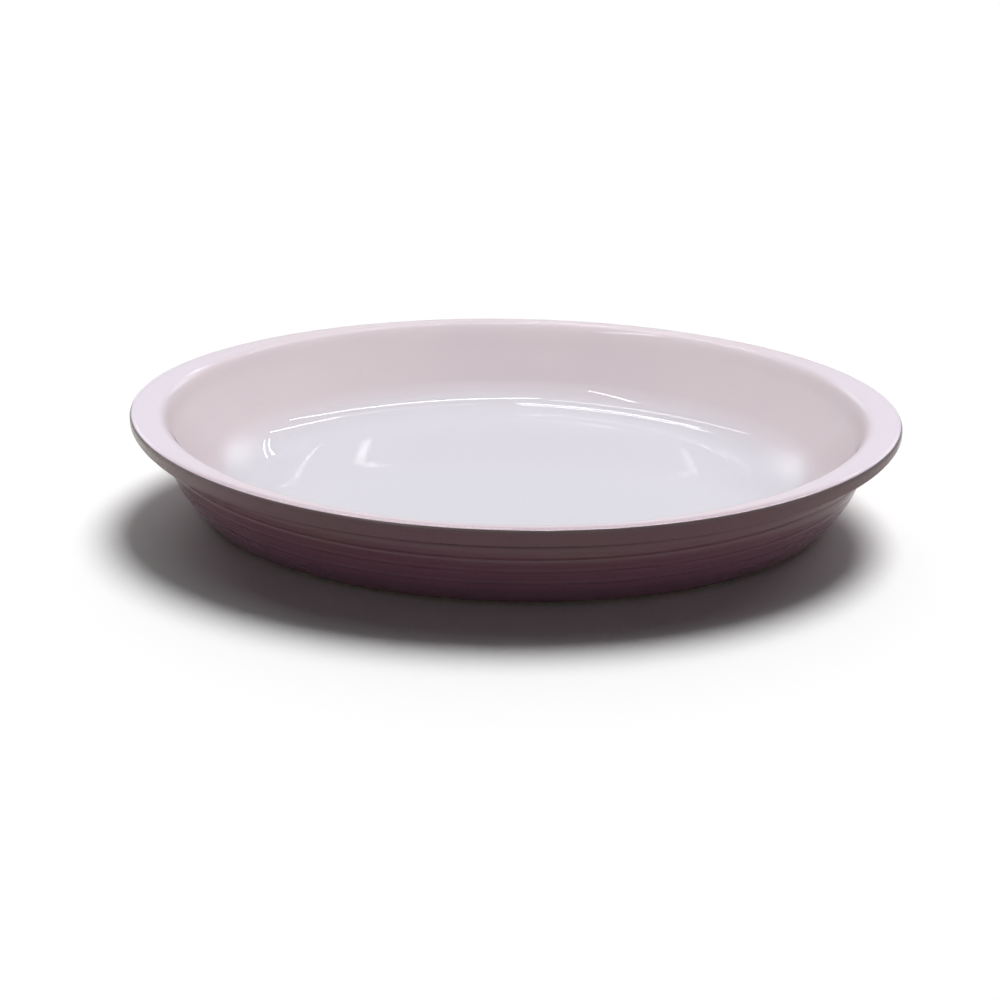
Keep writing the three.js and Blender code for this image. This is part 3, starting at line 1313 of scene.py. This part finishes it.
@dataclass
class Studio:
    """The white floor and surroundings, the lights and the camera."""

    floor_half: float = 5.0  # half of the floor's side
    floor_colour: Rgb = (250, 250, 250)
    sky_strength: float = 0.045  # of the surroundings as a light
    sky_glint: float = 0.75  # of the surroundings in reflections
    table_lights: tuple[BroadLight, ...] = TABLE_LIGHTS
    inside_light: BroadLight = INSIDE_LIGHT
    lamps: tuple[Lamp, ...] = LAMPS
    eye: Point = (0.0562, -1.0677, 0.5893)  # where the camera stands
    aim: Point = (-0.0059, -0.0003, 0.0047)  # what it is turned to
    lens: float = 104.2  # its focal length in millimetres, as is the width of its sensor
    sensor: float = 36.0

    def build(self, pieces: dict[str, bpy.types.Object]) -> None:
        """Sets the view, floor, sky, lamps and camera.

        Args:
            pieces: The dish's pieces, by the node that each stands for.
        """
        bpy.context.scene.view_settings.view_transform = "Standard"
        floor = self.lay_floor()
        self.light_sky()
        self.hang_lamps(floor, pieces)
        self.set_camera()

    def lay_floor(self) -> bpy.types.Object:
        """Lays a level square of pale, matt floor.

        Returns:
            The floor.
        """
        half = self.floor_half
        mesh = bpy.data.meshes.new("studio_floor")
        corners = [(-half, -half, 0), (half, -half, 0), (half, half, 0), (-half, half, 0)]
        mesh.from_pydata(corners, [], [(0, 1, 2, 3)])
        made, bench = new_material("studio_floor")
        bench.finish("OutputMaterial", bench.add("BsdfDiffuse", None, Color=linear(self.floor_colour)))
        mesh.materials.append(made)
        floor = bpy.data.objects.new("studio_floor", mesh)
        bpy.context.scene.collection.objects.link(floor)
        floor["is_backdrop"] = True
        return floor

    def light_sky(self) -> None:
        """Makes the surroundings white to the eye, a little dimmer in reflections, and dim as a light."""
        world = bpy.data.worlds.new("studio_sky")
        world.use_nodes = True
        bench = Bench(world.node_tree)
        path = bench.add("LightPath")
        mirrored = bench.math("ADD", path.outputs["Is Glossy Ray"], path.outputs["Is Transmission Ray"])
        glint = bench.math("MULTIPLY", mirrored, self.sky_glint)
        light = bench.math("MAXIMUM", glint, self.sky_strength)
        level = bench.math("MAXIMUM", light, path.outputs["Is Camera Ray"])
        sky = bench.add("Background", None, Color=linear(WHITE), Strength=level)
        bench.finish("OutputWorld", sky)
        bpy.context.scene.world = world

    def hang_lamps(self, floor: bpy.types.Object, pieces: dict[str, bpy.types.Object]) -> None:
        """Lights the floor, which keeps the dish's shadow, then the inside, then hangs the lamps.

        Args:
            floor: The floor that the dish stands on.
            pieces: The dish's pieces, by the node that each stands for.
        """
        groups = {
            duty: self.group(f"{duty.value}_alone", [pieces[node] for node in nodes])
            for duty, nodes in LIT_NODES.items()
        }
        table = self.group("table_alone", [floor])
        for light in self.table_lights:
            light.build(table)
        self.inside_light.build(groups[Duty.INSIDE])
        for lamp in self.lamps:
            lamp.build(groups)

    def group(self, name: str, lit: list[bpy.types.Object]) -> bpy.types.Collection:
        """Gathers the objects that a light falls on.

        Args:
            name: The group's name.
            lit: The objects.

        Returns:
            The group.
        """
        made = bpy.data.collections.new(name)
        for each in lit:
            made.objects.link(each)
        return made

    def set_camera(self) -> None:
        """Sets the camera at the photograph's place and angle."""
        data = bpy.data.cameras.new("camera")
        data.sensor_width = self.sensor
        data.lens = self.lens
        camera = bpy.data.objects.new("camera", data)
        camera.location = self.eye
        camera.rotation_mode = "QUATERNION"
        camera.rotation_quaternion = (Vector(self.aim) - camera.location).to_track_quat("-Z", "Y")
        bpy.context.scene.collection.objects.link(camera)
        bpy.context.scene.camera = camera


def main() -> None:
    """Builds the dish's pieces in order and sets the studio."""
    logging.basicConfig(level=logging.INFO, format="%(name)s: %(message)s")
    low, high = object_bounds()
    form = DishForm.from_box(low, high)
    pieces: dict[str, bpy.types.Object] = {}
    for kind in (StonewareBody, InteriorGlaze, ExteriorGlaze, UndersideGlaze):
        part = kind(form)
        piece = part.build()
        part.dress(piece)
        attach(piece, "root")
        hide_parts(part.node)
        pieces[part.node] = piece
        mesh = piece.data
        LOG.info("%s: %d points, %d faces", piece.name, len(mesh.vertices), len(mesh.polygons))
    Studio().build(pieces)


if __name__ == "__main__":
    main()
